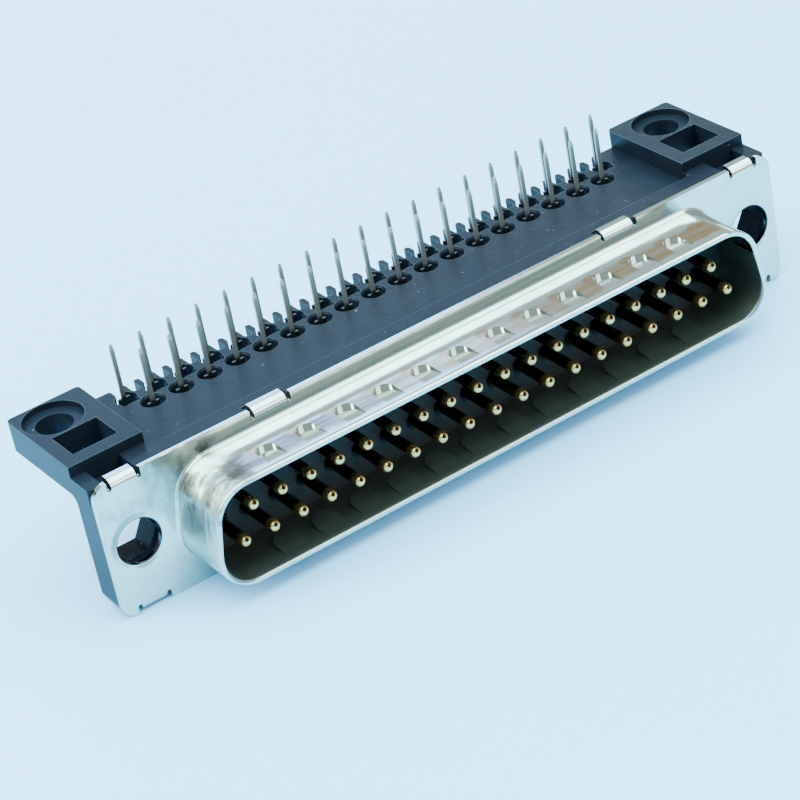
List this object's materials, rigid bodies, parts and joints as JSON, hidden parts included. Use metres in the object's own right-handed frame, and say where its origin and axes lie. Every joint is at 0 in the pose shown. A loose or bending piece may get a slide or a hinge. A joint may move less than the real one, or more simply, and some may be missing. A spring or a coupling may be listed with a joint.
{
  "type": "d-sub connector",
  "caption": "Right-angle board connector: a D-shaped metal plug shell around rows of round pins, a moulded bracket with board arms, and bent tails that leave through a comb.",
  "frame": {"origin": "centre of the D opening, on the front face of the metal flange", "axes": "X along the contact rows, -Y out of the mating mouth, +Z out of the board side, the way the solder tails point"},
  "size_m": [0.0694, 0.0201, 0.0166],
  "materials": {
    "shell_metal": "bright tin-plated sheet steel",
    "insulator_plastic": "black glass-filled plastic",
    "bracket_plastic": "black glass-filled plastic, fine spark-eroded texture",
    "contact_metal": "gold-plated pin end, tin-plated tail"
  },
  "bodies": {
    "root": {"front_shell": "shell_metal", "insulator": "insulator_plastic", "bracket": "bracket_plastic", "contact_01": "contact_metal", "contact_02": "contact_metal", "contact_03": "contact_metal", "contact_04": "contact_metal", "contact_05": "contact_metal", "contact_06": "contact_metal", "contact_07": "contact_metal", "contact_08": "contact_metal", "contact_09": "contact_metal", "contact_10": "contact_metal", "contact_11": "contact_metal", "contact_12": "contact_metal", "contact_13": "contact_metal", "contact_14": "contact_metal", "contact_15": "contact_metal", "contact_16": "contact_metal", "contact_17": "contact_metal", "contact_18": "contact_metal", "contact_19": "contact_metal", "contact_20": "contact_metal", "contact_21": "contact_metal", "contact_22": "contact_metal", "contact_23": "contact_metal", "contact_24": "contact_metal", "contact_25": "contact_metal", "contact_26": "contact_metal", "contact_27": "contact_metal", "contact_28": "contact_metal", "contact_29": "contact_metal", "contact_30": "contact_metal", "contact_31": "contact_metal", "contact_32": "contact_metal", "contact_33": "contact_metal", "contact_34": "contact_metal", "contact_35": "contact_metal", "contact_36": "contact_metal", "contact_37": "contact_metal"}
  },
  "joints": []
}
